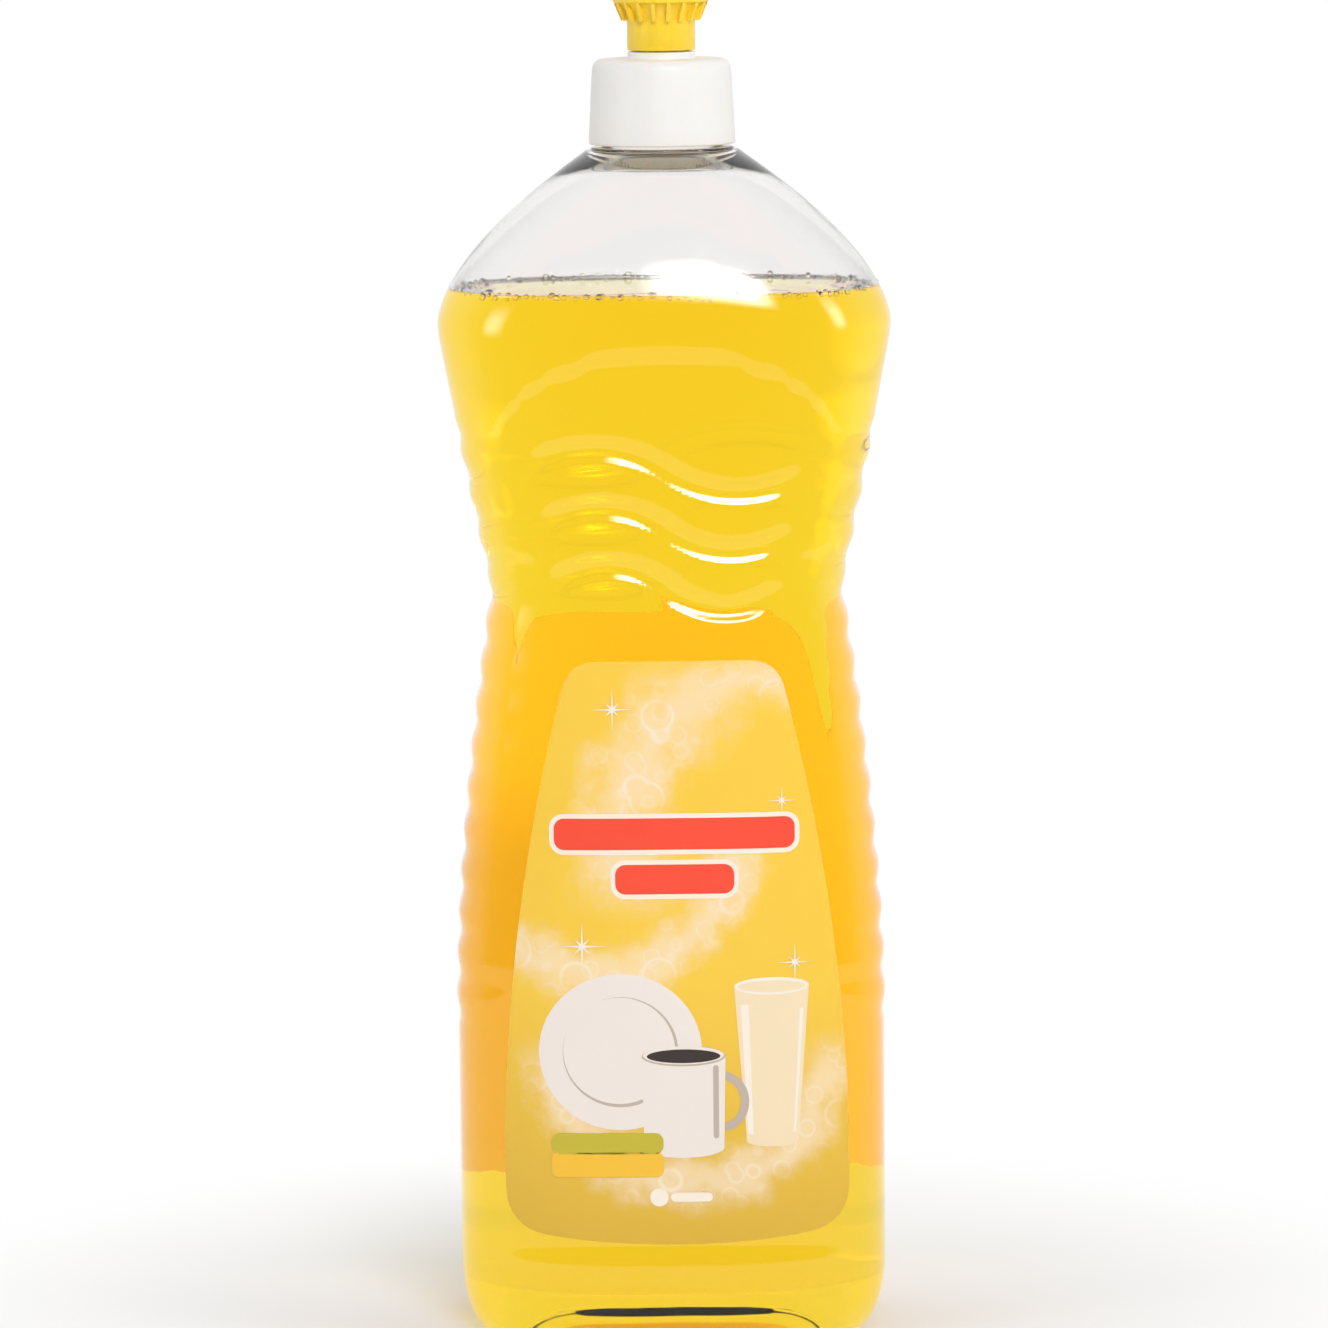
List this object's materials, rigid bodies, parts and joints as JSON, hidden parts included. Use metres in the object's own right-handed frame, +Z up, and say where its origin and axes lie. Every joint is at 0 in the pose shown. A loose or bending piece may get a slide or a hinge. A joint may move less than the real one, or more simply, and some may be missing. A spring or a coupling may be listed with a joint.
{
  "type": "dish soap bottle",
  "caption": "Clear oval squeeze bottle with ribbed narrow sides, a pinched waist, arched label panels, screw closure and push-pull nozzle, full of yellow liquid.",
  "frame": {"origin": "centre of the standing ring on the surface the bottle stands on", "axes": "+Z up along the neck, front label towards -Y, wide way along X"},
  "size_m": [0.0978, 0.0638, 0.2906],
  "materials": {
    "clear_plastic": "clear gloss",
    "yellow_liquid": "clear yellow liquid",
    "label_film": "printed gloss film",
    "liner_foam": "matt foam",
    "white_plastic": "satin moulded",
    "yellow_plastic": "satin moulded"
  },
  "bodies": {
    "bottle": {"bottle": "clear_plastic", "liquid": "yellow_liquid", "front_label": "label_film", "back_label": "label_film"},
    "liner": {"sealing_liner": "liner_foam"},
    "closure": {"screw_closure": "white_plastic"},
    "nozzle": {"push_pull_nozzle": "yellow_plastic"}
  },
  "joints": [
    {"name": "liner_rise", "type": "slide", "parent": "bottle", "child": "liner", "axis": [0, 0, 1], "range_m": [0, 0.0045]},
    {"name": "cap_turn", "type": "hinge", "parent": "liner", "child": "closure", "pos_m": [0, 0, 0.265], "axis": [0, 0, 1], "range_deg": [0, 540]},
    {"name": "nozzle_pull", "type": "slide", "parent": "closure", "child": "nozzle", "axis": [0, 0, 1], "range_m": [0, 0.005]}
  ],
  "couplings": [
    {"joint": "liner_rise", "follows": "cap_turn", "m_per_rad": 0.000477}
  ]
}
